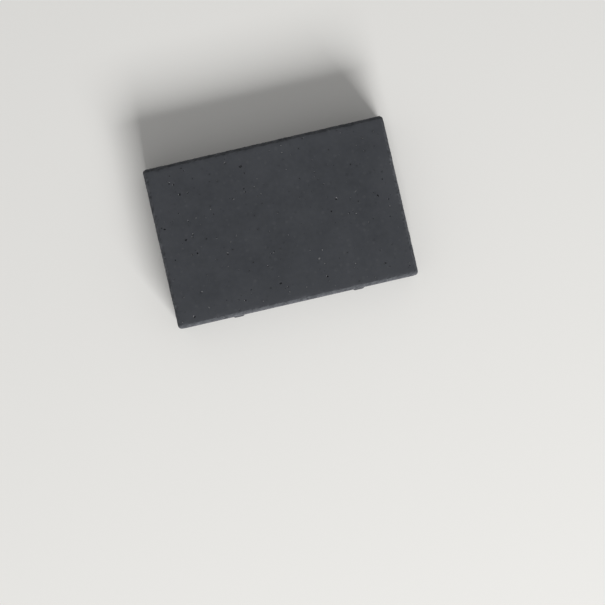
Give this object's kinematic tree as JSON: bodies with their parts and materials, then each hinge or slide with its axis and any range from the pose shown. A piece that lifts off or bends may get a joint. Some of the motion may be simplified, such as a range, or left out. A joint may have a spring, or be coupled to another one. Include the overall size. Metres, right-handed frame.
{
  "type": "ceramic paving tile",
  "caption": "Rectangular dark grey fired-clay paving tile with a fine chamfer round its wearing face, rounded corners and low spacer ribs on its sides.",
  "frame": {"origin": "middle of the bedding face, on the surface that the tile lies on", "axes": "+Z out of the wearing face, +X along the long sides, +Y across to the back long side"},
  "size_m": [0.3, 0.2, 0.05],
  "materials": {
    "fired_clay": "unglazed, matt, finely pitted"
  },
  "bodies": {
    "root": {"paving_tile": "fired_clay"}
  },
  "joints": []
}
